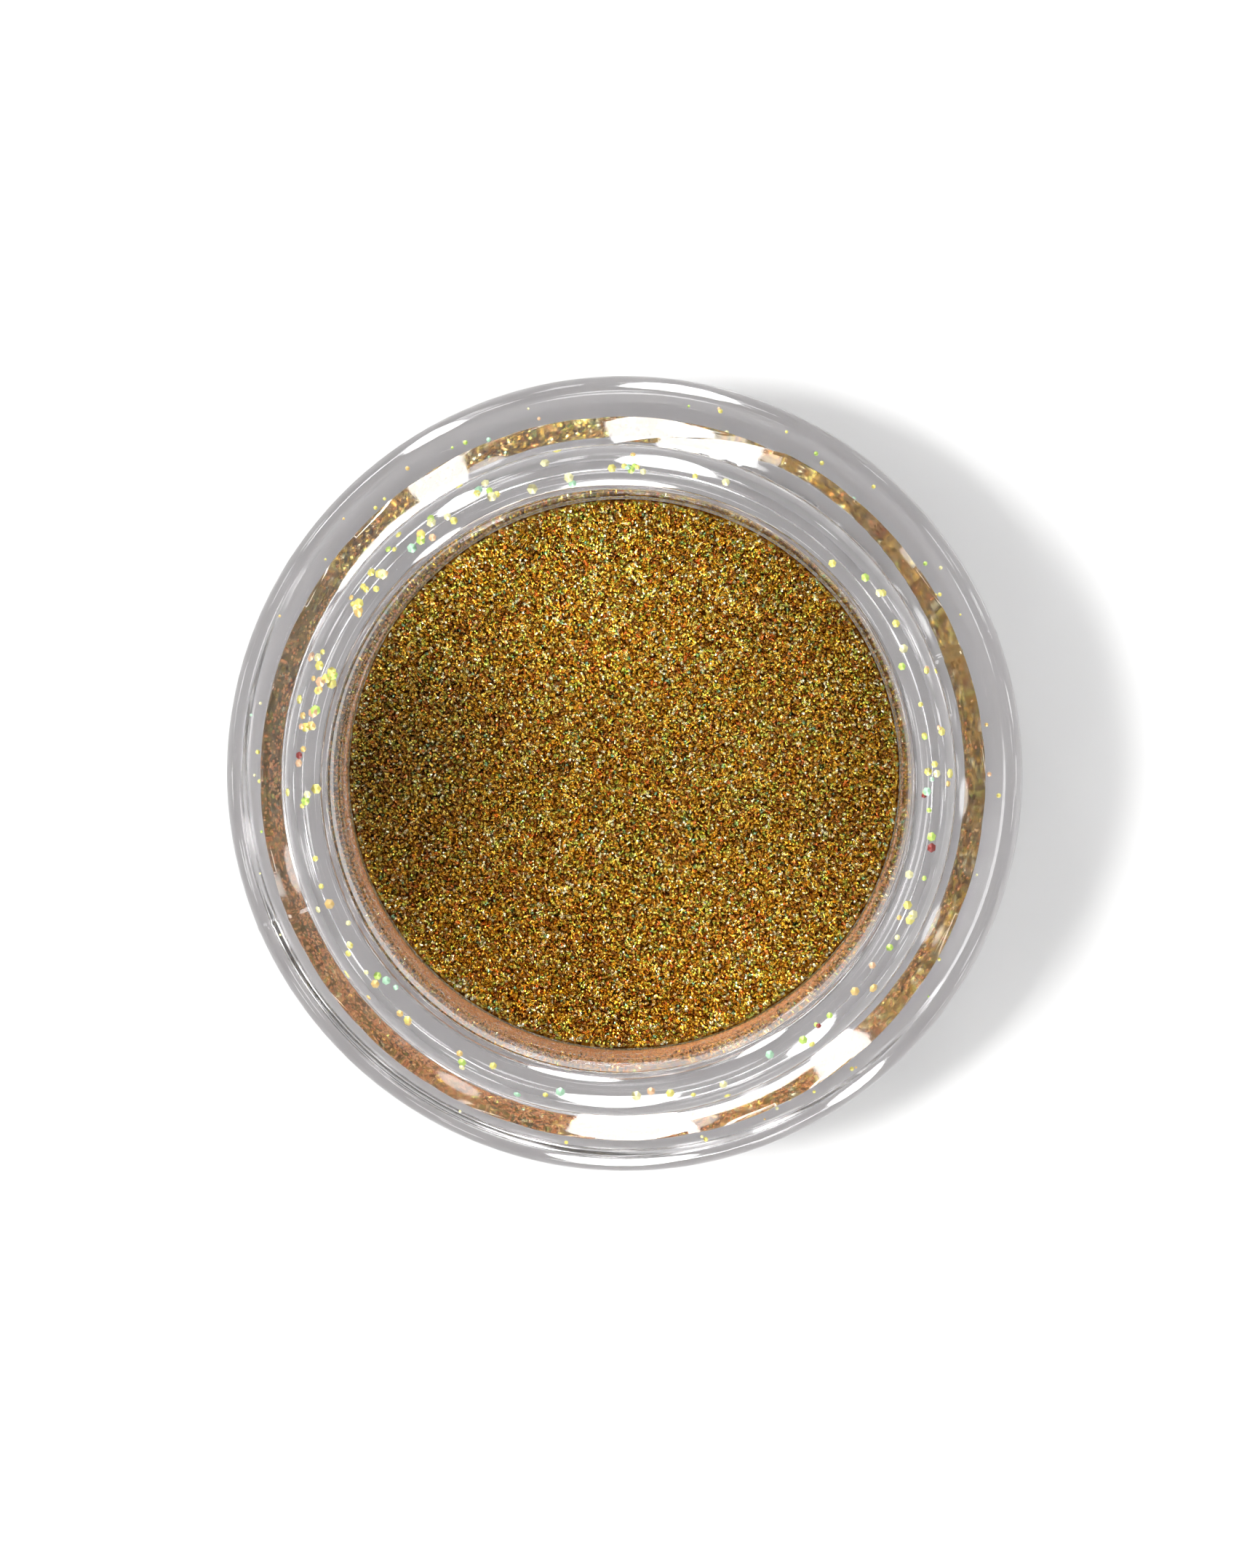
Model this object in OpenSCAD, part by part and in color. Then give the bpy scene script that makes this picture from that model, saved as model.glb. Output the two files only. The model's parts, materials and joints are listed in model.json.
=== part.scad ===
// Low, wide screw-neck sample jar in clear moulded plastic, open, part filled with fine gold flake.
// Origin at the centre of the foot, +Z up, millimetres.

/* [Body] */
// Outer diameter of the body
body_d = 30; // [28:0.5:36]
// Height of the ledge that a lid's skirt meets
ledge_h = 7.8; // [7:0.1:9]
// Overall height, to the top of the lip
jar_h = 13.9; // [13.5:0.1:15]
// Rounding of the body's upper edge
ledge_round = 0.7; // [0.3:0.1:1]
// Rounding of the body's lower edge
foot_round = 0.8; // [0.3:0.1:1]
// Diameter of the shallow recess under the base
recess_d = 22; // [18:0.5:24]
// Depth of the recess under the base
recess_depth = 0.5; // [0.2:0.1:0.8]

/* [Neck] */
// Diameter of the neck at the root of its thread
neck_d = 24.3; // [24:0.1:25]
// Rounding of the lip, outside
lip_round = 1.1; // [0.8:0.1:1.1]
// Rounding of the lip, inside
lip_inner_round = 0.5; // [0.2:0.1:0.5]

/* [Thread] */
// Diameter over the thread's crest
thread_d = 26.6; // [26:0.1:26.6]
// Rise of the thread in one turn
thread_pitch = 1.8; // [1.6:0.1:1.8]
// Length of the thread in turns
thread_turns = 1.2; // [1:0.1:1.2]
// Height of the middle of the thread where it starts
thread_start_h = 9.7; // [9.7:0.05:9.8]
// Width of the flat on the thread's crest
crest_w = 0.2; // [0.1:0.1:0.3]
// Slope of the thread's upper flank, from horizontal
upper_flank = 30; // [25:1:32]
// Slope of the thread's lower flank, from horizontal
lower_flank = 55; // [50:1:55]
// Direction in which the thread starts, from +X towards +Y
thread_start_angle = 21; // [0:1:359]

/* [Cavity] */
// Diameter of the cavity at the lower end of its wall
cavity_d = 20.9; // [19:0.1:21]
// Diameter of the mouth
mouth_d = 21; // [20.9:0.1:21.1]
// Thickness of the floor
floor_t = 2.6; // [2:0.1:3]
// Rounding between the cavity's wall and its floor
cavity_round = 3; // [2:0.1:4]

/* [Gold] */
// Height of the gold's surface above the foot
gold_h = 6.9; // [6:0.1:9]
// Clearance between the gold and the plastic
gold_gap = 0.05; // [0.03:0.01:0.1]

/* [Stray flakes] */
// Width of one flake across its corners
flake_d = 0.2; // [0.15:0.01:0.3]
// Thickness of one flake
flake_t = 0.03; // [0.02:0.01:0.05]
// Number of flakes lying on the ledge
ledge_flakes_n = 30; // [8:1:40]
// Number of flakes lying on the lip
lip_flakes_n = 36; // [8:1:40]
// Seed of the flakes' places
flake_seed = 7; // [1:1:99]

/* [Hidden] */
$fn = 96;
body_r = body_d / 2;
neck_r = neck_d / 2;
thread_r = thread_d / 2;
cavity_r = cavity_d / 2;
mouth_r = mouth_d / 2;
lip_centre_r = neck_r - lip_round;
lip_centre_h = jar_h - lip_round;
cavity_wall_h = floor_t + cavity_round;
// The thread's section reaches this far into the neck, so that the two join
thread_root = 0.4;
thread_step = 6;
thread_rings = round(thread_turns * 360 / thread_step);
// The thread rises out of the neck over this many rings at each end
fade_rings = 5;
// A cut that would end flush with a face runs past it by this much
past = 1;
// Band of the ledge that shows outside the thread, where its flakes lie
ledge_band = [thread_r + flake_d, body_r - ledge_round - flake_d];
// Slopes of the lip's rounding between which its flakes lie
lip_slopes = [4, 55];

// Half outline of the body with its two rounded edges
module body_outline() {
    square([body_r - foot_round, ledge_h - ledge_round]);
    translate([0, foot_round]) square([body_r, ledge_h - foot_round - ledge_round]);
    square([body_r - ledge_round, ledge_h]);
    translate([body_r - ledge_round, ledge_h - ledge_round]) circle(ledge_round);
    translate([body_r - foot_round, foot_round]) circle(foot_round);
}

// Half outline of the neck with its rounded lip
module neck_outline() {
    square([neck_r, lip_centre_h]);
    square([lip_centre_r, jar_h]);
    translate([lip_centre_r, lip_centre_h]) circle(lip_round);
}

// Half outline of the space inside, standing off its walls by gap
module cavity_outline(gap) {
    polygon([
        [0, cavity_wall_h],
        [cavity_r - gap, cavity_wall_h],
        [mouth_r - gap, jar_h],
        [mouth_r - gap, jar_h + past],
        [0, jar_h + past]
    ]);
    translate([0, floor_t + gap]) square([cavity_r - cavity_round, cavity_round]);
    intersection() {
        translate([cavity_r - cavity_round, cavity_wall_h]) circle(cavity_round - gap);
        translate([0, floor_t]) square([cavity_r, cavity_round]);
    }
}

// What the mouth's inner edge loses where it is rounded
module mouth_rounding_outline() {
    difference() {
        translate([mouth_r - past, jar_h - lip_inner_round])
            square([past + lip_inner_round, lip_inner_round + past]);
        translate([mouth_r + lip_inner_round, jar_h - lip_inner_round]) circle(lip_inner_round);
    }
}

// Corners of the thread's section on ring i, from its lower root up to its upper root
function thread_ring(i) =
    let (
        rise = min(1, i / fade_rings, (thread_rings - i) / fade_rings),
        crest = neck_r + (thread_r - neck_r) * rise,
        root = neck_r - thread_root,
        half_crest = crest_w / 2,
        below = half_crest + (crest - root) * tan(lower_flank),
        above = half_crest + (crest - root) * tan(upper_flank),
        a = thread_start_angle + i * thread_step,
        z = thread_start_h + thread_pitch * i * thread_step / 360
    )
    [
        [root * cos(a), root * sin(a), z - below],
        [crest * cos(a), crest * sin(a), z - half_crest],
        [crest * cos(a), crest * sin(a), z + half_crest],
        [root * cos(a), root * sin(a), z + above]
    ];

// The single raised thread, swept ring by ring
module thread() {
    last = 4 * thread_rings;
    points = [for (i = [0:thread_rings]) each thread_ring(i)];
    sides = [
        for (i = [0:thread_rings - 1], k = [0:3])
            let (n = (k + 1) % 4, a = 4 * i, b = 4 * (i + 1))
            each [[a + k, a + n, b + n], [a + k, b + n, b + k]]
    ];
    ends = [[0, 3, 2], [0, 2, 1], [last, last + 1, last + 2], [last, last + 2, last + 3]];
    polyhedron(points, concat(sides, ends));
}

// The jar is one moulding: body, threaded neck and cavity
module jar() {
    color([0.86, 0.85, 0.88, 0.45])
    difference() {
        union() {
            rotate_extrude() body_outline();
            rotate_extrude() neck_outline();
            thread();
        }
        rotate_extrude() cavity_outline(0);
        rotate_extrude() mouth_rounding_outline();
        translate([0, 0, -past]) cylinder(d = recess_d, h = recess_depth + past);
    }
}

// The loose gold, as one body of the heap's outer shape
module gold_fill() {
    color([0.62, 0.44, 0.1])
    intersection() {
        rotate_extrude() cavity_outline(gold_gap);
        cylinder(r = body_r, h = gold_h);
    }
}

module flake() {
    cylinder(d = flake_d, h = flake_t, $fn = 6);
}

// Flakes spilled on the ledge around the neck
module ledge_flakes() {
    color([0.8, 0.62, 0.2])
    for (i = [0:ledge_flakes_n - 1])
        let (r = rands(ledge_band[0], ledge_band[1], 1, flake_seed + i)[0])
        rotate(i * 360 / ledge_flakes_n) translate([r, 0, ledge_h]) flake();
}

// Flakes clinging to the rounded lip
module lip_flakes() {
    color([0.8, 0.62, 0.2])
    for (i = [0:lip_flakes_n - 1])
        let (slope = rands(lip_slopes[0], lip_slopes[1], 1, flake_seed + i)[0])
        rotate(i * 360 / lip_flakes_n)
            translate([lip_centre_r, 0, lip_centre_h])
                rotate([0, slope, 0]) translate([0, 0, lip_round]) flake();
}

jar();
gold_fill();
ledge_flakes();
lip_flakes();
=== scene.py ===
"""Looks of a low screw-neck jar of clear plastic, part filled with gold flake. Lengths are metres."""
import json
import math

import bpy
import numpy as np
from mathutils import Matrix, Vector


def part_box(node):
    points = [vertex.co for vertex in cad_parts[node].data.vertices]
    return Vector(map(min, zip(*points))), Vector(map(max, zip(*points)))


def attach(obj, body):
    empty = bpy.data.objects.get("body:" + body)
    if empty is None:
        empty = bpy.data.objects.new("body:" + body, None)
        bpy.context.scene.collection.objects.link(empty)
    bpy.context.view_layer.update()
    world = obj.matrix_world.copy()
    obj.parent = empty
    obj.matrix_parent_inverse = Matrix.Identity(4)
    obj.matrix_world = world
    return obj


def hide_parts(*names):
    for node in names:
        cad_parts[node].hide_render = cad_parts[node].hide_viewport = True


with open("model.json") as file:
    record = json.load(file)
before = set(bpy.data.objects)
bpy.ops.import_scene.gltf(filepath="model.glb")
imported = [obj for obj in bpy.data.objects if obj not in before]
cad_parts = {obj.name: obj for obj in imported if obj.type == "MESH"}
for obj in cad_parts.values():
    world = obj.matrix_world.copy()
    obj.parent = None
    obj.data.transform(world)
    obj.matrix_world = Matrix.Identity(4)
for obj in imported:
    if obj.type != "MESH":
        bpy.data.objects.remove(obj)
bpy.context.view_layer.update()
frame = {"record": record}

MM = 0.001
TURN = 2 * math.pi

# Sizes that the frame gives
MOUNTS = {mount["name"]: mount for mount in frame["record"]["mounts"]}
BODY_R = min(*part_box("jar")[1].xy, *-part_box("jar")[0].xy)
JAR_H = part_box("jar")[1].z
GOLD_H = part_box("gold_fill")[1].z
GOLD_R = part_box("gold_fill")[1].x
FLOOR_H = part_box("gold_fill")[0].z
LEDGE_H = MOUNTS["lid_thread"]["pos_m"][2]
THREAD_R = MOUNTS["lid_thread"]["dims"]["r_mm"] * MM

# The jar's other sizes. Its outline stops at POLE_R, where fans of triangles close it.
POLE_R = 1.5 * MM
NECK_R = 12.15 * MM
LIP_ROUND = 1.1 * MM
LIP_INNER_ROUND = 0.5 * MM
LEDGE_ROUND = 0.7 * MM
FOOT_ROUND = 0.8 * MM
NECK_FILLET = 0.08 * MM
RECESS_R = 11 * MM
RECESS_DEPTH = 0.5 * MM
RECESS_ROUND = 0.2 * MM
RECESS_EDGE_ROUND = 0.15 * MM
MOUTH_R = 10.5 * MM
CAVITY_R = 10.45 * MM
CAVITY_ROUND = 3 * MM
CAVITY_FLOOR_H = FLOOR_H - 0.05 * MM
# Radius of the cavity's flat floor, and height of the lower end of its wall
CAVITY_FLAT_R = CAVITY_R - CAVITY_ROUND
CAVITY_WALL_H = CAVITY_FLOOR_H + CAVITY_ROUND

# Sections of the jar's mesh round its axis, apart from those at the parting lines
JAR_SECTIONS = 420

# The thread
THREAD_PITCH = 1.8 * MM
THREAD_TURNS = 1.2
THREAD_START_H = 9.7 * MM
THREAD_START = math.radians(21)
THREAD_FADE_TURNS = 1 / 12
CREST_HALF_WIDTH = 0.1 * MM
UPPER_FLANK = math.radians(30)
LOWER_FLANK = math.radians(55)
# The upper flank is hollow: halfway down it, by a quarter of this share of the thread's depth
FLANK_HOLLOW = 0.2

# One flake: its usual radius and its thickness
FLAKE_R = 0.075 * MM
FLAKE_T = 0.03 * MM

# The two lines that the mould's halves leave on the outside
PARTING = (math.radians(21), math.radians(203))
PARTING_HEIGHT = 0.025 * MM
PARTING_WIDTH = 0.1 * MM


def arc(centre_r, centre_z, radius, start, end, count):
    """Points of an arc in the (r, z) plane, angles in degrees."""
    a = np.radians(np.linspace(start, end, count))
    return np.stack([centre_r + radius * np.cos(a), centre_z + radius * np.sin(a)], axis=1)


def line(start, end, count):
    """Evenly spaced points from start to end in the (r, z) plane."""
    return np.linspace(start, end, count)


def underside():
    """The recess and the flat ring that the jar stands on."""
    return np.concatenate([
        line((POLE_R, RECESS_DEPTH), (RECESS_R - 0.3 * MM, RECESS_DEPTH), 4),
        arc(RECESS_R - RECESS_ROUND, RECESS_DEPTH - RECESS_ROUND, RECESS_ROUND, 80, 0, 5),
        arc(RECESS_R + RECESS_EDGE_ROUND, RECESS_EDGE_ROUND, RECESS_EDGE_ROUND, 180, 270, 5),
        line((RECESS_R + 0.5 * MM, 0), (BODY_R - FOOT_ROUND - 0.3 * MM, 0), 4),
    ])


def body_side():
    """The body's outside, up to the ledge and the foot of the neck."""
    return np.concatenate([
        arc(BODY_R - FOOT_ROUND, FOOT_ROUND, FOOT_ROUND, 270, 360, 14),
        line((BODY_R, FOOT_ROUND + 0.5 * MM), (BODY_R, LEDGE_H - LEDGE_ROUND - 0.3 * MM), 6),
        arc(BODY_R - LEDGE_ROUND, LEDGE_H - LEDGE_ROUND, LEDGE_ROUND, 0, 90, 12),
        line((BODY_R - LEDGE_ROUND - 0.1 * MM, LEDGE_H), (NECK_R + 2 * NECK_FILLET, LEDGE_H), 6),
        arc(NECK_R + NECK_FILLET, LEDGE_H + NECK_FILLET, NECK_FILLET, 270, 180, 4),
    ])


def neck_side():
    """The neck without its thread, in steps fine enough for the thread to be raised on."""
    top = JAR_H - LIP_ROUND
    return line((NECK_R, LEDGE_H + 2 * NECK_FILLET), (NECK_R, top - 0.03 * MM), 68)


def lip_and_cavity():
    """Over the lip and down the cavity to its floor."""
    inner = LIP_INNER_ROUND
    return np.concatenate([
        arc(NECK_R - LIP_ROUND, JAR_H - LIP_ROUND, LIP_ROUND, 0, 90, 18),
        arc(MOUTH_R + inner, JAR_H - inner, inner, 96, 180, 13),
        line((MOUTH_R, JAR_H - inner - 0.15 * MM), (CAVITY_R, CAVITY_WALL_H + 0.15 * MM), 16),
        arc(CAVITY_FLAT_R, CAVITY_WALL_H, CAVITY_ROUND, 0, -90, 16),
        line((CAVITY_FLAT_R - 0.6 * MM, CAVITY_FLOOR_H), (POLE_R, CAVITY_FLOOR_H), 5),
    ])


def thread_rise(turn_angle, z):
    """How far the thread stands out of the neck, at angles round the jar and heights z."""
    rise = np.zeros(np.broadcast(turn_angle, z).shape)
    for lap in (0, 1):
        s = ((turn_angle - THREAD_START) % TURN) / TURN + lap
        fade = np.clip(np.minimum(s, THREAD_TURNS - s) / THREAD_FADE_TURNS, 0, 1)
        above = z - THREAD_START_H - THREAD_PITCH * s
        flank = np.where(above > 0, math.tan(UPPER_FLANK), math.tan(LOWER_FLANK))
        down = np.maximum(np.abs(above) - CREST_HALF_WIDTH, 0) / (flank * (THREAD_R - NECK_R))
        down += np.where((above > 0) & (down < 1), FLANK_HOLLOW * down * (1 - down), 0)
        ridge = (THREAD_R - NECK_R) * (fade - down)
        rise = np.maximum(rise, np.where(s <= THREAD_TURNS, ridge, 0))
    return rise


def parting_rise(turn_angle, r):
    """Height of the mould's parting lines at angles round the jar."""
    rise = np.zeros(np.broadcast(turn_angle, r).shape)
    for place in PARTING:
        away = np.abs((turn_angle - place + math.pi) % TURN - math.pi) * r
        rise += PARTING_HEIGHT * np.exp(-((away / PARTING_WIDTH) ** 2))
    return rise


def jar_angles():
    """Angles of the jar's sections, closer together at the parting lines."""
    angles = list(np.linspace(0, TURN, JAR_SECTIONS, endpoint=False))
    for place in PARTING:
        angles += list(place + np.radians(np.linspace(-1.2, 1.2, 13)))
    angles = np.array(sorted(a % TURN for a in angles))
    return angles[np.diff(angles, append=angles[0] + TURN) > 1e-4]


def jar_mesh():
    parts = [underside(), body_side(), neck_side(), lip_and_cavity()]
    outline = np.concatenate(parts)
    starts = np.cumsum([0] + [len(p) for p in parts])
    is_neck = np.zeros(len(outline))
    is_neck[starts[2]:starts[3]] = 1
    is_outside = np.zeros(len(outline))
    is_outside[starts[1]:starts[3]] = 1
    turn_angle = jar_angles()[:, None]
    r = outline[None, :, 0] + np.zeros_like(turn_angle)
    z = outline[None, :, 1] + np.zeros_like(turn_angle)
    r = r + thread_rise(turn_angle, z) * is_neck + parting_rise(turn_angle, r) * is_outside
    return ring_mesh("jar_shell", r, z, turn_angle)


def ring_mesh(name, r, z, turn_angle):
    """Closed mesh of sections round the axis, each from its lower middle to its upper middle."""
    sections, count = r.shape
    points = np.stack([r * np.cos(turn_angle), r * np.sin(turn_angle), z], axis=2).reshape(-1, 3)
    poles = np.array([[0, 0, z[0, 0]], [0, 0, z[0, -1]]])
    here = np.arange(sections)[:, None] * count
    there = (np.arange(sections)[:, None] + 1) % sections * count
    k = np.arange(count - 1)[None, :]
    quads = np.stack([here + k, there + k, there + k + 1, here + k + 1], axis=2).reshape(-1, 4)
    low, high = len(points), len(points) + 1
    here, there = here[:, 0], there[:, 0]
    caps = [(low, b, a) for a, b in zip(here, there)]
    caps += [(high, a + count - 1, b + count - 1) for a, b in zip(here, there)]
    mesh = bpy.data.meshes.new(name)
    mesh.from_pydata(np.concatenate([points, poles]).tolist(), [], quads.tolist() + caps)
    mesh.polygons.foreach_set("use_smooth", np.ones(len(mesh.polygons), bool))
    return mesh


def add_object(mesh, material):
    mesh.materials.append(material)
    thing = bpy.data.objects.new(mesh.name, mesh)
    bpy.context.scene.collection.objects.link(thing)
    return thing


def new_material(name):
    material = bpy.data.materials.new(name)
    material.use_nodes = True
    return material, material.node_tree, material.node_tree.nodes["Principled BSDF"]


def object_coordinates(tree):
    return tree.nodes.new("ShaderNodeTexCoord").outputs["Object"]


def noise(tree, scale, detail):
    node = tree.nodes.new("ShaderNodeTexNoise")
    node.inputs["Scale"].default_value = scale
    node.inputs["Detail"].default_value = detail
    tree.links.new(object_coordinates(tree), node.inputs["Vector"])
    return node


def map_range(tree, value, low, high):
    node = tree.nodes.new("ShaderNodeMapRange")
    node.inputs["To Min"].default_value = low
    node.inputs["To Max"].default_value = high
    tree.links.new(value, node.inputs["Value"])
    return node.outputs["Result"]


def bump(tree, height, distance, strength):
    node = tree.nodes.new("ShaderNodeBump")
    node.inputs["Distance"].default_value = distance
    node.inputs["Strength"].default_value = strength
    tree.links.new(height, node.inputs["Height"])
    return node.outputs["Normal"]


def clear_plastic():
    material, tree, shader = new_material("clear_plastic")
    # The grey tint is the plastic's faint own tint, deepened as painted shade of what shows through it
    shader.inputs["Base Color"].default_value = (0.83, 0.815, 0.82, 1)
    shader.inputs["IOR"].default_value = 1.5
    shader.inputs["Transmission Weight"].default_value = 1
    smudges = noise(tree, 400, 3)
    tree.links.new(map_range(tree, smudges.outputs["Fac"], 0.02, 0.08), shader.inputs["Roughness"])
    ripple = noise(tree, 900, 1)
    tree.links.new(bump(tree, ripple.outputs["Fac"], 0.004 * MM, 0.5), shader.inputs["Normal"])
    return material


# Where each tint's share of the flakes starts, and the tint
HEAP_TINTS = (
    (0.00, (0.40, 0.155, 0.002)),
    (0.15, (0.60, 0.300, 0.005)),
    (0.36, (0.80, 0.490, 0.015)),
    (0.60, (0.90, 0.740, 0.140)),
    (0.73, (1.00, 0.960, 0.620)),
    (0.85, (0.58, 0.620, 0.080)),
    (0.95, (0.28, 0.520, 0.300)),
    (0.965, (0.85, 0.260, 0.030)),
)
# The side flakes' tints: the heap's gold made darker, as painted shade on the heap's side and underside
SHADED_SIDE_TINTS = (
    (0.00, (0.26, 0.150, 0.010)),
    (0.30, (0.46, 0.350, 0.050)),
    (0.60, (0.62, 0.550, 0.160)),
    (0.85, (0.40, 0.450, 0.100)),
)
# Tints of the film on one side of the cavity wall: a painted reflection of the gold
REFLECTION_FILM_TINTS = ((0.0, (0.72, 0.25, 0.06)), (0.5, (0.84, 0.36, 0.11)), (0.85, (0.92, 0.52, 0.20)))
BELT_TINTS = ((0.0, (0.20, 0.10, 0.01)), (0.4, (0.36, 0.22, 0.03)), (0.75, (0.55, 0.38, 0.08)))
# Tints of the flakes on the lip and ledge: gold, green and orange, made pale as painted glint
STRAY_GLINT_TINTS = (
    (0.00, (0.95, 0.850, 0.220)),
    (0.30, (0.98, 0.930, 0.500)),
    (0.50, (0.90, 0.620, 0.220)),
    (0.62, (0.62, 0.860, 0.180)),
    (0.76, (0.50, 0.820, 0.560)),
    (0.86, (0.95, 0.600, 0.350)),
    (0.93, (0.30, 0.030, 0.020)),
)


def ramp(tree, value, stops, interpolation):
    """Colour of a value from 0 to 1, by stops that each give a place and a colour."""
    node = tree.nodes.new("ShaderNodeValToRGB")
    node.color_ramp.interpolation = interpolation
    elements = node.color_ramp.elements
    while len(elements) < len(stops):
        elements.new(0.5)
    for element, (position, colour) in zip(elements, stops):
        element.position = position
        element.color = (*colour, 1)
    tree.links.new(value, node.inputs["Fac"])
    return node.outputs["Color"]


def another_random(tree, value):
    """A second random number from the first: what follows the point in a multiple of it."""
    product = tree.nodes.new("ShaderNodeMath")
    product.operation = "MULTIPLY"
    product.inputs[1].default_value = 37.7
    tree.links.new(value, product.inputs[0])
    part = tree.nodes.new("ShaderNodeMath")
    part.operation = "FRACT"
    tree.links.new(product.outputs[0], part.inputs[0])
    return part.outputs[0]


def patch(tree, centre, radius, gain):
    """A soft round patch: the gain at its centre, nothing beyond its radius."""
    distance = tree.nodes.new("ShaderNodeVectorMath")
    distance.operation = "DISTANCE"
    distance.inputs[1].default_value = centre
    tree.links.new(object_coordinates(tree), distance.inputs[0])
    fade = tree.nodes.new("ShaderNodeMapRange")
    fade.interpolation_type = "SMOOTHSTEP"
    fade.inputs["From Max"].default_value = radius
    fade.inputs["To Min"].default_value = gain
    fade.inputs["To Max"].default_value = 0
    tree.links.new(distance.outputs["Value"], fade.inputs["Value"])
    return fade.outputs["Result"]


# Painted light and shade on the heap, lighter and darker patches: centre, radius and gain
PAINTED_LIGHT_PATCHES = (
    ((-0.5 * MM, 5.5 * MM, GOLD_H), 6 * MM, 0.10),
    ((3.5 * MM, -7 * MM, GOLD_H), 6 * MM, 0.05),
    ((-9.5 * MM, 0.5 * MM, GOLD_H), 8 * MM, -0.36),
)


def painted_light_and_shade(tree, colour):
    """The colour with painted light and shade: lighter and darker in patches."""
    one = tree.nodes.new("ShaderNodeValue")
    one.outputs[0].default_value = 1
    gain = one.outputs[0]
    for centre, radius, change in PAINTED_LIGHT_PATCHES:
        total = tree.nodes.new("ShaderNodeMath")
        total.operation = "ADD"
        tree.links.new(gain, total.inputs[0])
        tree.links.new(patch(tree, centre, radius, change), total.inputs[1])
        gain = total.outputs[0]
    product = tree.nodes.new("ShaderNodeVectorMath")
    product.operation = "SCALE"
    tree.links.new(colour, product.inputs[0])
    tree.links.new(gain, product.inputs["Scale"])
    return product.outputs[0]


def flake_metal(name, tints):
    """Lacquered metallised film, each flake of its own tint and gloss."""
    material, tree, shader = new_material(name)
    each = tree.nodes.new("ShaderNodeNewGeometry").outputs["Random Per Island"]
    # The flakes' tint carries painted light and shade: darker on the left, lighter in patches.
    tree.links.new(painted_light_and_shade(tree, ramp(tree, each, tints, "CONSTANT")), shader.inputs["Base Color"])
    shader.inputs["Metallic"].default_value = 1
    shader.inputs["Coat Weight"].default_value = 1
    shader.inputs["Coat Roughness"].default_value = 0.06
    tree.links.new(map_range(tree, another_random(tree, each), 0.04, 0.18), shader.inputs["Roughness"])
    return material


def stray_glint_metal():
    """Flakes that cling to the plastic, paler than the heap's gold: their own colours with painted glint."""
    material, tree, shader = new_material("stray_glint_metal")
    each = tree.nodes.new("ShaderNodeNewGeometry").outputs["Random Per Island"]
    tree.links.new(ramp(tree, each, STRAY_GLINT_TINTS, "CONSTANT"), shader.inputs["Base Color"])
    tree.links.new(map_range(tree, another_random(tree, each), 0.0, 0.3), shader.inputs["Metallic"])
    shader.inputs["Roughness"].default_value = 0.4
    return material


def speck_material(name, tints):
    """Dull specks, each of its own tint."""
    material, tree, shader = new_material(name)
    each = tree.nodes.new("ShaderNodeNewGeometry").outputs["Random Per Island"]
    tree.links.new(ramp(tree, each, tints, "CONSTANT"), shader.inputs["Base Color"])
    shader.inputs["Roughness"].default_value = 0.6
    return material


def bed_material():
    """Packed flakes in the heap's shade: dark brown as painted shade, with coloured grains."""
    material, tree, shader = new_material("gold_bed")
    grains = tree.nodes.new("ShaderNodeTexVoronoi")
    grains.inputs["Scale"].default_value = 7500
    tree.links.new(object_coordinates(tree), grains.inputs["Vector"])
    grey = tree.nodes.new("ShaderNodeSeparateColor")
    tree.links.new(grains.outputs["Color"], grey.inputs["Color"])
    # Dark brown tints of painted shade, with a few brighter grains
    stops = (
        (0.0, (0.09, 0.028, 0.002)),
        (0.4, (0.20, 0.075, 0.005)),
        (0.75, (0.38, 0.170, 0.015)),
        (0.95, (0.70, 0.460, 0.080)),
    )
    tree.links.new(ramp(tree, grey.outputs[0], stops, "CONSTANT"), shader.inputs["Base Color"])
    shader.inputs["Metallic"].default_value = 1
    shader.inputs["Roughness"].default_value = 0.5
    tree.links.new(bump(tree, grains.outputs["Distance"], 0.05 * MM, 1), shader.inputs["Normal"])
    return material


def heap_height(x, y):
    """Height of the gold's uneven surface over the point (x, y)."""
    u = x / GOLD_R
    v = y / GOLD_R
    mounds = 0.16 * np.exp(-((u + 0.1) ** 2 + (v - 0.35) ** 2) / 0.1)
    mounds += 0.14 * np.exp(-((u - 0.3) ** 2 + (v + 0.55) ** 2) / 0.12)
    waves = 0.05 * np.sin(5.1 * u + 2.3 * v + 1.0) * np.sin(4.3 * v - 1.7 * u)
    return GOLD_H + (mounds + waves - 0.22) * MM


def bed_mesh():
    """Solid heap under the loose flakes, with an uneven top."""
    drop = 0.04 * MM
    round_r = CAVITY_ROUND - 0.11 * MM
    low = CAVITY_WALL_H - round_r
    edge = GOLD_R - 0.01 * MM
    bottom = np.concatenate([
        line((0.5 * MM, low), (CAVITY_FLAT_R - 0.6 * MM, low), 4),
        arc(CAVITY_FLAT_R, CAVITY_WALL_H, round_r, -85, 0, 12),
    ])
    top = line((edge, GOLD_H - 0.3 * MM), (0.2 * MM, GOLD_H), 60)
    outline = np.concatenate([bottom, top])
    turn_angle = np.linspace(0, TURN, 180, endpoint=False)[:, None]
    r = outline[None, :, 0] + np.zeros_like(turn_angle)
    z = outline[None, :, 1] + np.zeros_like(turn_angle)
    x = r * np.cos(turn_angle)
    y = r * np.sin(turn_angle)
    first = len(bottom)
    z[:, first:] = heap_height(x, y)[:, first:] - drop
    return ring_mesh("gold_bed", r, z, turn_angle)


def unit(vectors):
    return vectors / np.linalg.norm(vectors, axis=1, keepdims=True)


def around(r, azimuth, z):
    """Points, or directions, at radii, angles round the jar's axis and heights."""
    r, azimuth, z = np.broadcast_arrays(r, azimuth, z)
    return np.stack([r * np.cos(azimuth), r * np.sin(azimuth), z], axis=1)


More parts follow.
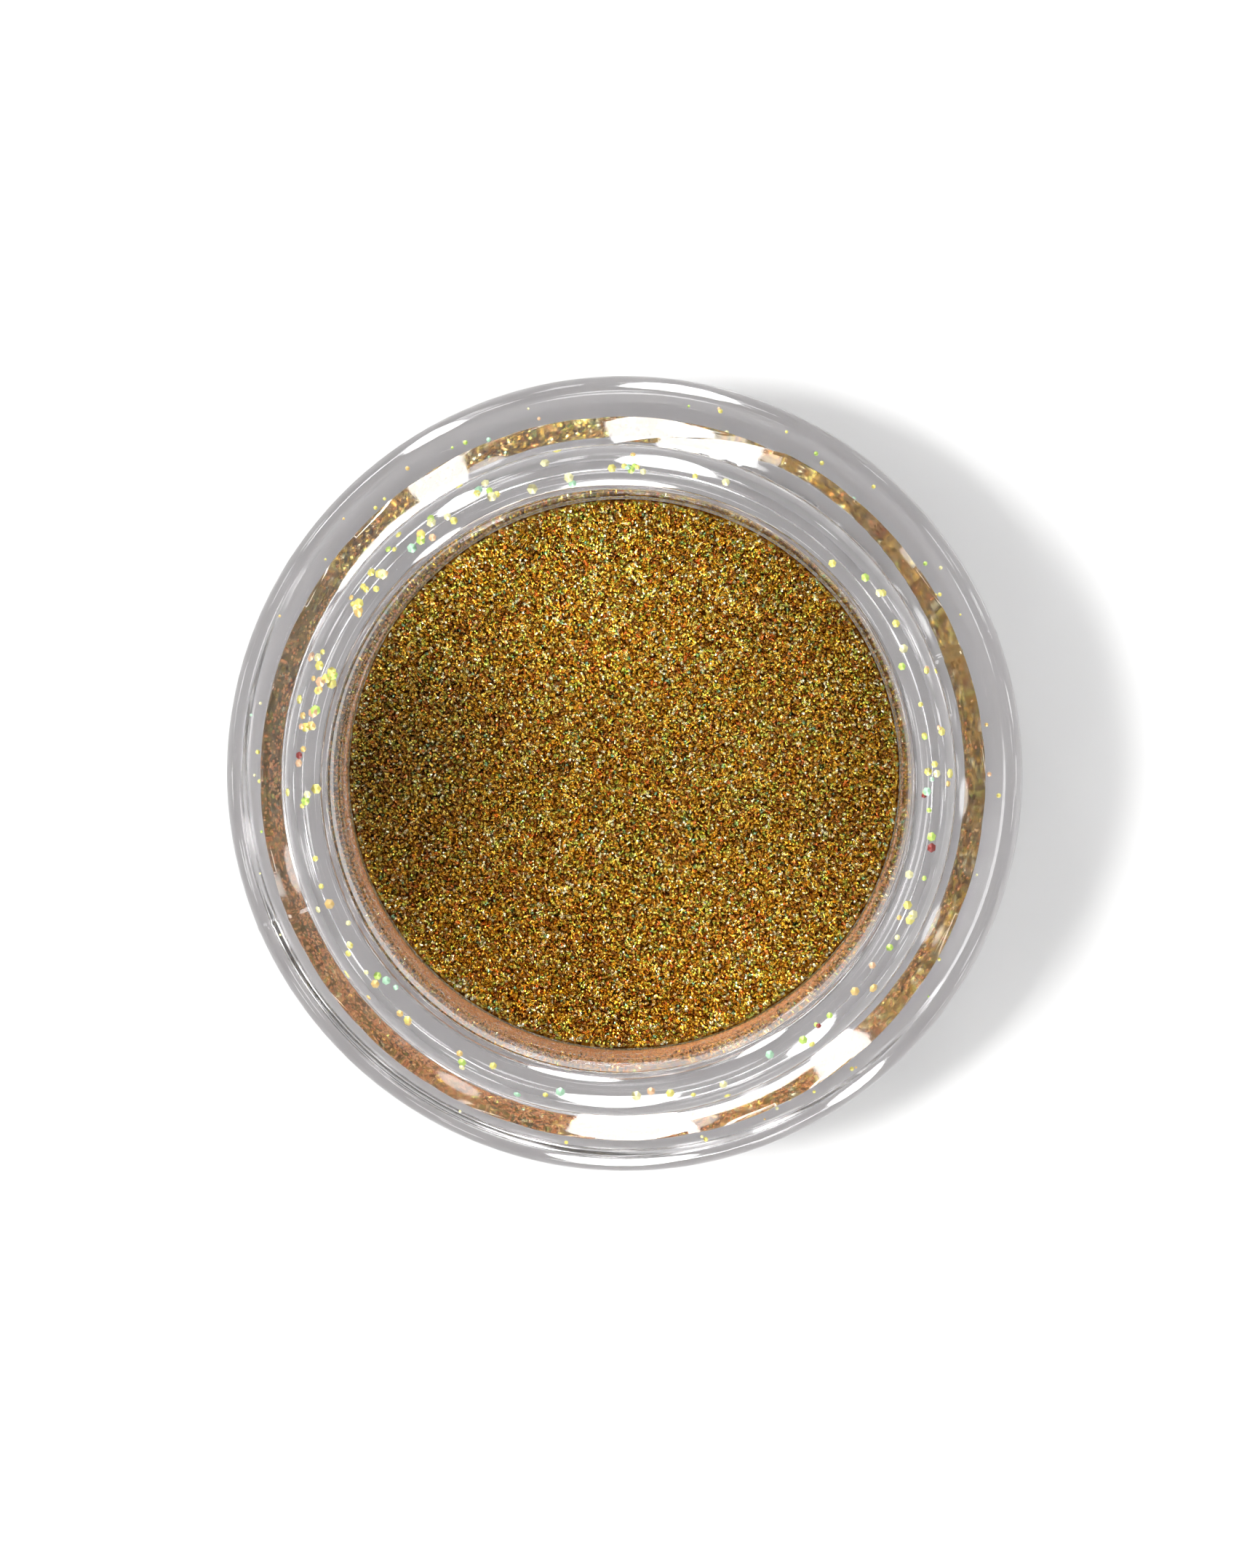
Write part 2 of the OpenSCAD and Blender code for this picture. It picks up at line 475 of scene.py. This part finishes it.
def flake_mesh(name, centres, normals, radii, thickness, rng):
    """Six-sided flakes with flat tops and pointed undersides, each closed and an island of its own."""
    count = len(centres)
    side = unit(np.cross(normals, rng.normal(size=(count, 3))))
    other = np.cross(normals, side)
    corners = []
    for k in range(6):
        a = k * TURN / 6
        corners.append(centres + (math.cos(a) * side + math.sin(a) * other) * radii[:, None])
    tip = centres - normals * thickness
    points = np.stack(corners + [tip], axis=1).reshape(-1, 3)
    base = (np.arange(count) * 7)[:, None]
    tops = base + np.arange(6)
    slants = np.stack([base + (np.arange(6) + 1) % 6, base + np.arange(6), base + np.full(6, 6)], axis=2)
    loops = np.concatenate([tops, slants.reshape(count, -1)], axis=1).ravel()
    sizes = np.tile([6] + [3] * 6, count)
    mesh = bpy.data.meshes.new(name)
    mesh.vertices.add(len(points))
    mesh.vertices.foreach_set("co", points.ravel())
    mesh.loops.add(len(loops))
    mesh.loops.foreach_set("vertex_index", loops.astype(np.int32))
    mesh.polygons.add(len(sizes))
    mesh.polygons.foreach_set("loop_start", np.concatenate([[0], np.cumsum(sizes)[:-1]]).astype(np.int32))
    mesh.update(calc_edges=True)
    return mesh


def tilted(normals, spread, rng):
    """Normals turned off their direction by normally spread angles, in radians."""
    count = len(normals)
    side = unit(np.cross(normals, rng.normal(size=(count, 3))))
    angle = (np.abs(rng.normal(0, 1, count)) * spread)[:, None]
    return normals * np.cos(angle) + side * np.sin(angle)


def scattered(radius, spacing, rng):
    """Points of a disc, one in each square of a grid."""
    n = int(radius / spacing) + 1
    grid = np.arange(-n, n + 1) * spacing
    x, y = (g.ravel() for g in np.meshgrid(grid, grid))
    x = x + rng.uniform(-0.5, 0.5, len(x)) * spacing
    y = y + rng.uniform(-0.5, 0.5, len(y)) * spacing
    inside = np.hypot(x, y) < radius
    order = rng.permutation(np.count_nonzero(inside))
    return x[inside][order], y[inside][order]


def heap_normals(x, y):
    step = 0.05 * MM
    dx = (heap_height(x + step, y) - heap_height(x - step, y)) / (2 * step)
    dy = (heap_height(x, y + step) - heap_height(x, y - step)) / (2 * step)
    return unit(np.stack([-dx, -dy, np.ones_like(dx)], axis=1))


def top_flakes(rng, material):
    """The loose flakes on top of the heap, in pieces of a size that a mesh file holds well."""
    spacing = 0.088 * MM
    x, y = scattered(GOLD_R - 0.1 * MM, spacing, rng)
    lift = rng.uniform(-0.02, 0.05, len(x)) * MM
    centres = np.stack([x, y, heap_height(x, y) + lift], axis=1)
    normals = tilted(heap_normals(x, y), math.radians(17), rng)
    radii = FLAKE_R * rng.uniform(0.8, 1.25, len(x))
    pieces = []
    for k, part in enumerate(np.array_split(np.arange(len(x)), 3)):
        mesh = flake_mesh(f"top_flakes_{k + 1}", centres[part], normals[part], radii[part], FLAKE_T, rng)
        pieces.append(add_object(mesh, material))
    return pieces


def heap_outline(along):
    """Radius, height and slope at shares of the way from the heap's upper edge to its middle underneath."""
    flat = CAVITY_FLAT_R
    round_r = GOLD_R - flat
    straight = GOLD_H - 0.35 * MM - CAVITY_WALL_H
    bend = round_r * math.pi / 2
    # The wall is covered whole, the rounding nearly so and the flat underside thinly
    lengths = np.array([straight, bend, flat]) * np.array([1.0, 0.9, 0.45])
    shares = np.cumsum(lengths) / lengths.sum()
    slope = np.clip((along - shares[0]) / (shares[1] - shares[0]), 0, 1) * math.pi / 2
    r = flat + round_r * np.cos(slope)
    z = CAVITY_WALL_H - round_r * np.sin(slope)
    z = np.where(along < shares[0], CAVITY_WALL_H + along / shares[0] * straight, z)
    inward = np.clip((along - shares[1]) / (1 - shares[1]), 0, 1)
    r = np.where(along > shares[1], flat * np.sqrt(1 - inward), r)
    return r, z, slope


def side_flakes(rng, material):
    """Flakes that lie against the cavity's wall and floor and show through the plastic."""
    count = 16000
    turn_angle = rng.uniform(0, TURN, count)
    r, z, slope = heap_outline(rng.uniform(0, 1, count))
    out = around(np.cos(slope), turn_angle, -np.sin(slope))
    inset = 0.03 * MM
    centres = around(r, turn_angle, z) - out * inset
    normals = tilted(out, math.radians(7), rng)
    mesh = flake_mesh("side_flakes", centres, normals, np.full(count, FLAKE_R * 1.2), FLAKE_T, rng)
    return add_object(mesh, material)


def lip_flakes(rng, material):
    """Flakes that cling to the rounded lip, thick in some stretches of it and thin in others."""
    # Middle and spread of each stretch in degrees, and the number of its flakes
    stretches = ((150, 28, 60), (95, 30, 22), (-5, 22, 18), (-130, 22, 22), (-60, 40, 16), (40, 50, 14))
    azimuth = np.concatenate([rng.normal(math.radians(c), math.radians(s), n) for c, s, n in stretches])
    count = len(azimuth)
    slope = np.radians(np.abs(rng.normal(0, 26, count)))
    slope = np.minimum(slope, math.radians(75))
    out = around(np.sin(slope), azimuth, np.cos(slope))
    r = NECK_R - LIP_ROUND - rng.uniform(0, 0.3, count) * MM * (slope < 0.1)
    centres = around(r, azimuth, JAR_H - LIP_ROUND) + out * (LIP_ROUND + 0.004 * MM)
    radii = rng.uniform(0.09, 0.2, count) * MM
    mesh = flake_mesh("lip_glints", centres, tilted(out, math.radians(3), rng), radii, FLAKE_T, rng)
    return add_object(mesh, material)


def ledge_flakes(rng, material):
    """Specks on the ledge around the neck."""
    count = 90
    azimuth = rng.uniform(0, TURN, count)
    r = rng.uniform(THREAD_R - 0.3 * MM, BODY_R - LEDGE_ROUND, count)
    centres = around(r, azimuth, LEDGE_H + 0.02 * MM)
    up = np.tile([0.0, 0.0, 1.0], (count, 1))
    radii = rng.uniform(0.04, 0.1, count) * MM
    mesh = flake_mesh("ledge_specks", centres, tilted(up, math.radians(8), rng), radii, FLAKE_T, rng)
    return add_object(mesh, material)


BELT_COUNT = 5000
REFLECTION_FILM_COUNT = 14500


def wall_speck_mesh(name, azimuth, height, rng):
    """Specks on the cavity's wall, at angles round the jar and heights above the gold's edge."""
    z = np.minimum(GOLD_H + height, JAR_H - LIP_INNER_ROUND)
    wall_r = CAVITY_R + (MOUTH_R - CAVITY_R) * (z - CAVITY_WALL_H) / (JAR_H - CAVITY_WALL_H)
    centres = around(wall_r - 0.02 * MM, azimuth, z)
    radii = rng.uniform(0.03, 0.065, len(azimuth)) * MM
    return flake_mesh(name, centres, around(-1, azimuth, 0), radii, 0.01 * MM, rng)


def wall_specks(rng):
    """Specks on the cavity's wall: a brown belt all round at the gold's edge, and on one side a
    rust-coloured film that is a painted reflection of the gold.
    """
    azimuth = rng.uniform(0, TURN, BELT_COUNT)
    mesh = wall_speck_mesh("speck_belt", azimuth, rng.uniform(-0.9, 0.15, BELT_COUNT) * MM, rng)
    belt = add_object(mesh, speck_material("belt_specks", BELT_TINTS))
    # The rust-coloured film on one side is a painted reflection of the gold in the wall
    azimuth = rng.normal(math.radians(-110), math.radians(45), REFLECTION_FILM_COUNT)
    mesh = wall_speck_mesh("painted_reflection_film", azimuth, rng.exponential(1.5, REFLECTION_FILM_COUNT) * MM, rng)
    return belt, add_object(mesh, speck_material("painted_reflection_specks", REFLECTION_FILM_TINTS))


def stage_floor():
    material, _, shader = new_material("floor")
    shader.inputs["Base Color"].default_value = (0.66, 0.66, 0.66, 1)
    shader.inputs["Roughness"].default_value = 0.7
    shader.inputs["Specular IOR Level"].default_value = 0
    half = 1.0
    below = -0.05 * MM
    mesh = bpy.data.meshes.new("floor")
    corners = [(-half, -half, below), (half, -half, below), (half, half, below), (-half, half, below)]
    mesh.from_pydata(corners, [], [(0, 1, 2, 3)])
    add_object(mesh, material)


# What the lamps face
LAMP_AIM = Vector((0, 0, 0.5 * JAR_H))


def lamp(name, azimuth, elevation, distance, width, height, radiance, *hidden_from):
    """Oval soft light that faces the jar. Angles in degrees, sizes in metres."""
    a = math.radians(azimuth)
    e = math.radians(elevation)
    light = bpy.data.lights.new(name, "AREA")
    light.shape = "ELLIPSE"
    light.size = width
    light.size_y = height
    light.energy = radiance * math.pi * width * height * math.pi / 4
    thing = bpy.data.objects.new(name, light)
    way = Vector((math.cos(e) * math.cos(a), math.cos(e) * math.sin(a), math.sin(e)))
    thing.location = LAMP_AIM + way * distance
    thing.rotation_euler = way.to_track_quat("Z", "Y").to_euler()
    for rays in hidden_from:
        setattr(thing, f"visible_{rays}", False)
    bpy.context.scene.collection.objects.link(thing)


# Brightness of the studio by height, from the horizon at 0 to straight above at 1
WORLD_LEVELS = ((0.0, 0.5), (0.2, 0.65), (0.5, 0.65), (0.82, 0.5), (1.0, 0.45))
# Small bright spots: their brightness, and the number of cells, with a spot each, across the studio's radius
SPOT_RADIANCE = 9
SPOT_SCALE = 4
# Distances from a spot's middle at which it starts to fade and is gone, as shares of a cell
SPOT_EDGE = (0.23, 0.29)


def world_spots(tree, way):
    """Small bright spots all over, which the flakes flash back."""
    cells = tree.nodes.new("ShaderNodeTexVoronoi")
    cells.inputs["Scale"].default_value = SPOT_SCALE
    tree.links.new(way, cells.inputs["Vector"])
    spots = tree.nodes.new("ShaderNodeMapRange")
    spots.interpolation_type = "SMOOTHSTEP"
    spots.inputs["From Min"].default_value = SPOT_EDGE[0]
    spots.inputs["From Max"].default_value = SPOT_EDGE[1]
    spots.inputs["To Min"].default_value = SPOT_RADIANCE
    spots.inputs["To Max"].default_value = 0
    tree.links.new(cells.outputs["Distance"], spots.inputs["Value"])
    return spots.outputs["Result"]


def soft_world():
    """Even studio light with bright spots."""
    world = bpy.data.worlds.new("studio")
    bpy.context.scene.world = world
    world.use_nodes = True
    tree = world.node_tree
    way = tree.nodes.new("ShaderNodeTexCoord").outputs["Generated"]
    split = tree.nodes.new("ShaderNodeSeparateXYZ")
    tree.links.new(way, split.inputs[0])
    stops = [(height, (level, level, level)) for height, level in WORLD_LEVELS]
    both = tree.nodes.new("ShaderNodeVectorMath")
    both.operation = "ADD"
    tree.links.new(ramp(tree, split.outputs["Z"], stops, "EASE"), both.inputs[0])
    tree.links.new(world_spots(tree, way), both.inputs[1])
    tree.links.new(both.outputs[0], tree.nodes["Background"].inputs["Color"])


# Tall lamps seen in the plastic: azimuth and width, in degrees
TALL_LAMPS = ((-56, 9), (-92, 18), (122, 9), (83, 16))
TALL_ELEVATION = 30
TALL_HEIGHT = 0.5
# Long lamps between them: azimuth, elevation, width and height, in degrees
LONG_LAMPS = ((-76, 21, 50, 6), (133, 21, 30, 6))
LAMP_DISTANCE = 0.5
LAMP_RADIANCE = 20


def lamps():
    """A key that lights the floor, and lamps that show as highlights in the plastic and the gold."""
    lamp("key", 180, 60, 1.0, 0.16, 0.16, 115, "glossy", "transmission")
    for azimuth, width in TALL_LAMPS:
        name = f"tall_{azimuth}"
        wide = LAMP_DISTANCE * math.radians(width)
        place = (azimuth, TALL_ELEVATION, LAMP_DISTANCE)
        lamp(name, *place, wide, TALL_HEIGHT, LAMP_RADIANCE, "diffuse", "transmission")
    for azimuth, elevation, width, height in LONG_LAMPS:
        name = f"long_{azimuth}"
        wide = LAMP_DISTANCE * math.cos(math.radians(elevation)) * math.radians(width)
        high = LAMP_DISTANCE * math.radians(height)
        place = (azimuth, elevation, LAMP_DISTANCE)
        lamp(name, *place, wide, high, LAMP_RADIANCE, "diffuse", "transmission")


# What the camera aims at, and how high the picture is there
CAMERA_AIM = Vector((0.15 * MM, -0.33 * MM, 7.2 * MM))
FRAME_HEIGHT = 59.07 * MM
# How high the camera stands over it, and how much and which way it leans off the jar's axis
CAMERA_DISTANCE = 0.140
CAMERA_LEAN = math.radians(2.8)
CAMERA_SIDE = Vector((0.515, 0.857, 0))


def add_camera():
    back = CAMERA_SIDE.normalized() * math.tan(CAMERA_LEAN) + Vector((0, 0, 1))
    data = bpy.data.cameras.new("camera")
    camera = bpy.data.objects.new("camera", data)
    camera.location = CAMERA_AIM + back * CAMERA_DISTANCE
    z = back.normalized()
    x = Vector((0, 1, 0)).cross(z).normalized()
    camera.rotation_euler = Matrix((x, z.cross(x), z)).transposed().to_euler()
    data.lens = data.sensor_width * back.length * CAMERA_DISTANCE / FRAME_HEIGHT
    data.clip_start = 0.005
    bpy.context.scene.collection.objects.link(camera)
    bpy.context.scene.camera = camera


def light_paths():
    """Enough bounces for thick clear plastic, with no cap on what comes through it."""
    scene = bpy.context.scene
    scene.view_settings.view_transform = "Standard"
    scene.cycles.sample_clamp_indirect = 0
    scene.cycles.max_bounces = 24
    scene.cycles.transmission_bounces = 20
    scene.cycles.glossy_bounces = 12
    scene.cycles.transparent_max_bounces = 12


def build():
    rng = np.random.default_rng(7)
    mesh = jar_mesh()
    mesh.set_sharp_from_angle(angle=math.radians(32))
    shell = add_object(mesh, clear_plastic())
    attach(shell, "vessel")
    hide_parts("jar")
    bed = add_object(bed_mesh(), bed_material())
    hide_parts("gold_fill")
    top = top_flakes(rng, flake_metal("top_metal", HEAP_TINTS))
    side = side_flakes(rng, flake_metal("shaded_side_metal", SHADED_SIDE_TINTS))
    for piece in (bed, *top, side):
        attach(piece, "contents")
    stray = stray_glint_metal()
    ledge = ledge_flakes(rng, stray)
    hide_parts("ledge_flakes")
    lip = lip_flakes(rng, stray)
    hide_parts("lip_flakes")
    for piece in (ledge, lip, *wall_specks(rng)):
        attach(piece, "vessel")


add_camera()
build()
stage_floor()
soft_world()
lamps()
light_paths()
